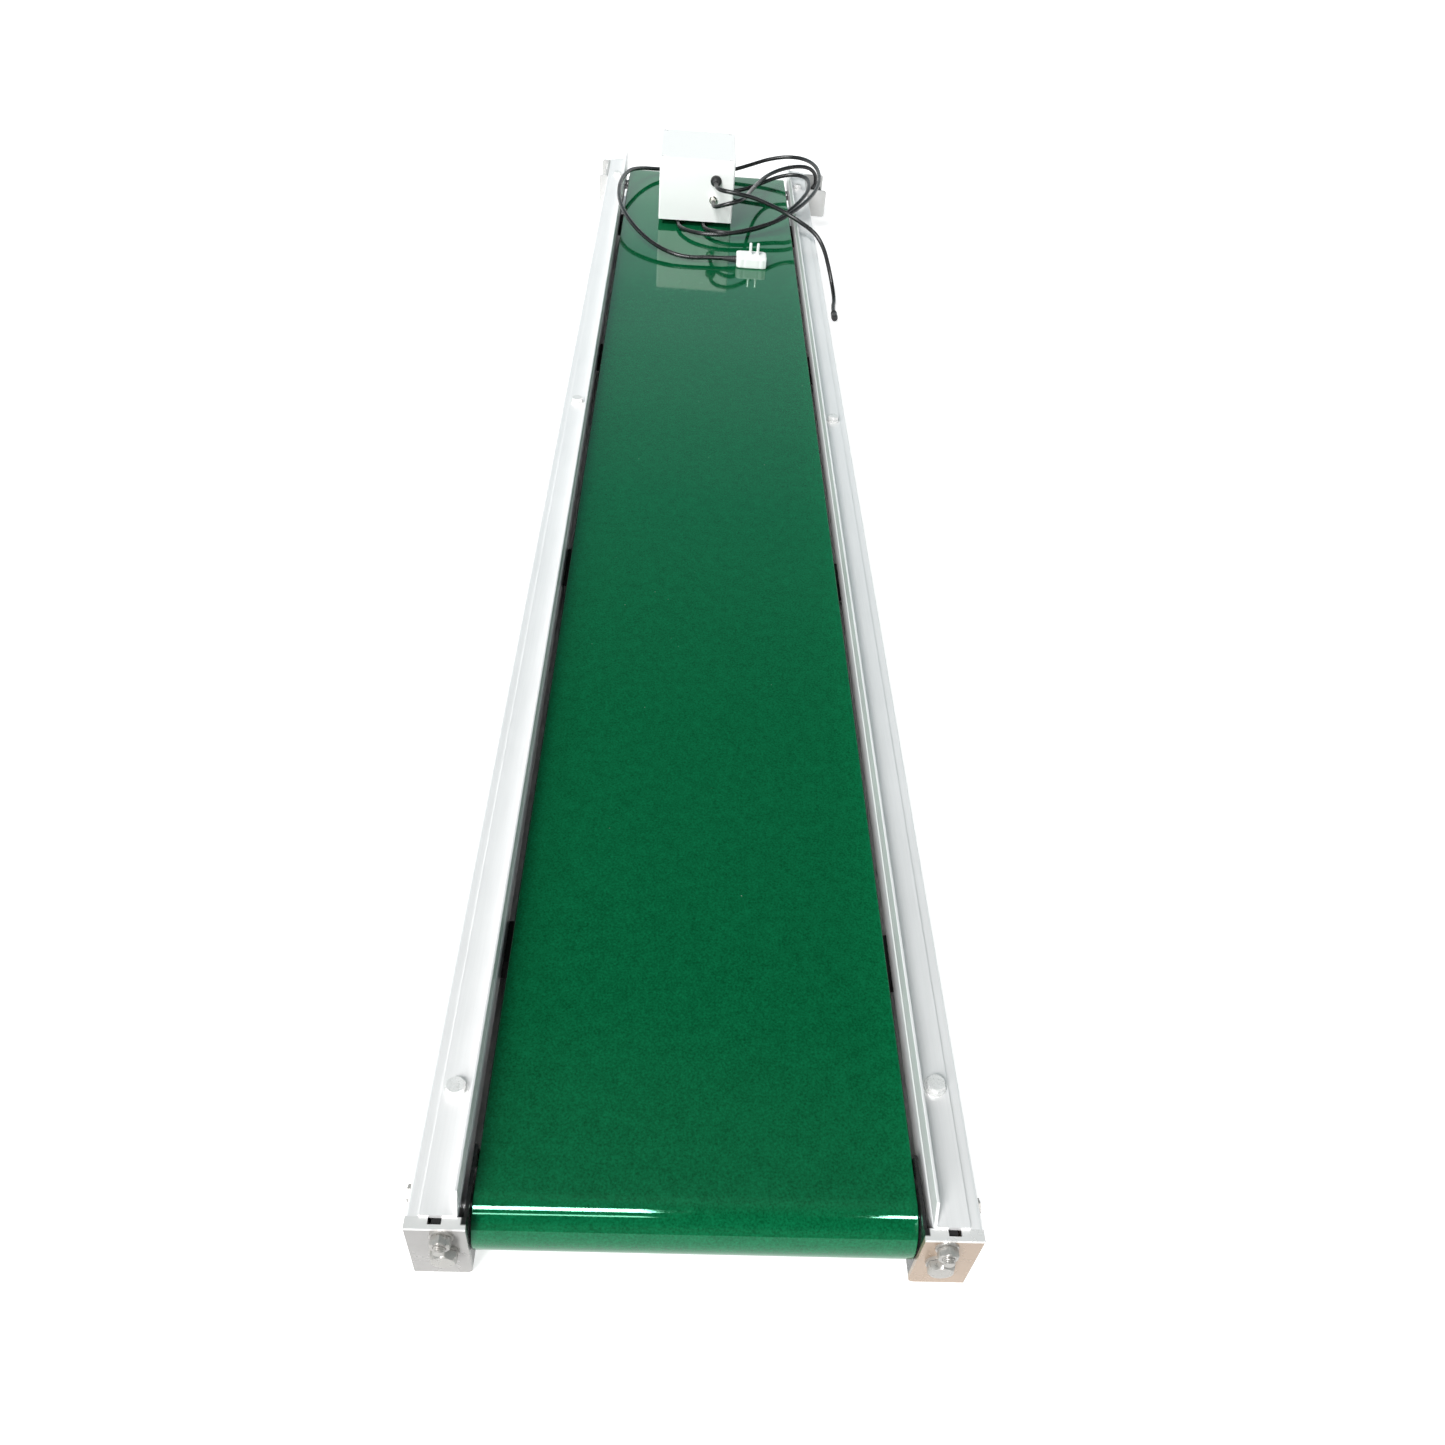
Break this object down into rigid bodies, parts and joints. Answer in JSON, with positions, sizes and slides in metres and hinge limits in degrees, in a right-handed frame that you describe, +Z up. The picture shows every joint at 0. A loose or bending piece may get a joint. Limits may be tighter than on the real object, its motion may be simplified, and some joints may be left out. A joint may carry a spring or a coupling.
{
  "type": "belt conveyor section",
  "caption": "Flat belt conveyor section with folded side rails and low side guards, a driven drum, a tensioned tail roller, a control box and its leads resting on the belt.",
  "frame": {"origin": "on the floor plane, at the centre of the four leg holes in the rails' bottom flanges", "axes": "+X across the belt, +Y along the belt from the tail end to the drive end, +Z up"},
  "size_m": [0.435, 2.0924, 0.177],
  "materials": {
    "rail_steel": "light satin sheet",
    "bracket_steel": "bright folded sheet",
    "fastener_zinc": "zinc plated",
    "belt_pvc": "glossy green, finely mottled",
    "drum_steel": "turned",
    "box_white": "white, satin",
    "black_plastic": "moulded, fine grain",
    "nickel": "nickel plated",
    "board_green": "circuit board",
    "cord_black": "flexible sheath, slight gloss"
  },
  "bodies": {
    "root": {"side_rail_left": "rail_steel", "side_rail_right": "rail_steel", "side_guard_left": "rail_steel", "side_guard_right": "rail_steel", "guard_washers": "fastener_zinc", "guard_bolts": "fastener_zinc", "guard_nuts": "fastener_zinc", "end_bracket_left": "bracket_steel", "end_bracket_right": "bracket_steel", "anchor_blocks": "bracket_steel", "anchor_washers": "fastener_zinc", "anchor_nuts": "fastener_zinc", "anchor_studs": "fastener_zinc", "tongue_bolts": "fastener_zinc", "tongue_nuts": "fastener_zinc", "tension_washers": "fastener_zinc", "conveyor_belt": "belt_pvc", "slider_bed": "bracket_steel", "cross_members": "bracket_steel", "cross_member_bolts": "fastener_zinc", "cross_member_nuts": "fastener_zinc", "drum_motor": "drum_steel", "drum_gearbox": "drum_steel", "drum_shaft_left": "drum_steel", "drum_shaft_right": "drum_steel", "shaft_nut": "fastener_zinc", "drive_bracket_left": "bracket_steel", "drive_bracket_right": "bracket_steel", "bracket_bolts": "fastener_zinc", "bracket_nuts": "fastener_zinc", "terminal_box": "black_plastic", "terminal_gland": "black_plastic", "box_plinth": "black_plastic", "control_box_case": "box_white", "control_box_lid": "box_white", "lid_screws": "fastener_zinc", "board_standoffs": "board_green", "circuit_board": "board_green", "power_module": "board_green", "large_grommet": "black_plastic", "ring_gland": "nickel", "strain_reliefs": "black_plastic", "plug_body": "box_white", "plug_pins": "nickel", "plug_strain_relief": "black_plastic", "sensor_connector": "black_plastic", "spare_connector": "black_plastic", "mains_lead": "cord_black", "spare_lead": "cord_black", "sensor_lead": "cord_black", "motor_lead": "cord_black"},
    "take_up_axle": {"tail_axle": "drum_steel"},
    "tail_roller": {"tail_roller_shell": "drum_steel", "tail_roller_cups": "drum_steel", "tail_bearings": "drum_steel"},
    "tension_bolt_left": {"tension_bolt_left": "fastener_zinc"},
    "tension_bolt_right": {"tension_bolt_right": "fastener_zinc"},
    "drive_drum": {"drive_drum_shell": "drum_steel", "drum_covers": "drum_steel", "drum_bearings": "drum_steel"}
  },
  "joints": [
    {"name": "drive_drum_spin", "type": "hinge", "parent": "root", "child": "drive_drum", "pos_m": [0, 1, 0.0367], "axis": [1, 0, 0], "continuous": true},
    {"name": "take_up", "type": "slide", "parent": "root", "child": "take_up_axle", "axis": [0, 1, 0], "range_m": [0, 0.012]},
    {"name": "tail_roller_spin", "type": "hinge", "parent": "take_up_axle", "child": "tail_roller", "pos_m": [0, -1.014, 0.0367], "axis": [1, 0, 0], "continuous": true},
    {"name": "tension_bolt_left_turn", "type": "hinge", "parent": "root", "child": "tension_bolt_left", "pos_m": [-0.167, -1.014, 0.0367], "axis": [0, 1, 0], "range_deg": [0, 2880]},
    {"name": "tension_bolt_right_turn", "type": "hinge", "parent": "root", "child": "tension_bolt_right", "pos_m": [0.167, -1.014, 0.0367], "axis": [0, 1, 0], "range_deg": [0, 2880]}
  ],
  "couplings": [
    {"joint": "tail_roller_spin", "follows": "drive_drum_spin", "ratio": 1},
    {"joint": "tension_bolt_left_turn", "follows": "take_up", "rad_per_m": 4188.8},
    {"joint": "tension_bolt_right_turn", "follows": "take_up", "rad_per_m": 4188.8}
  ]
}
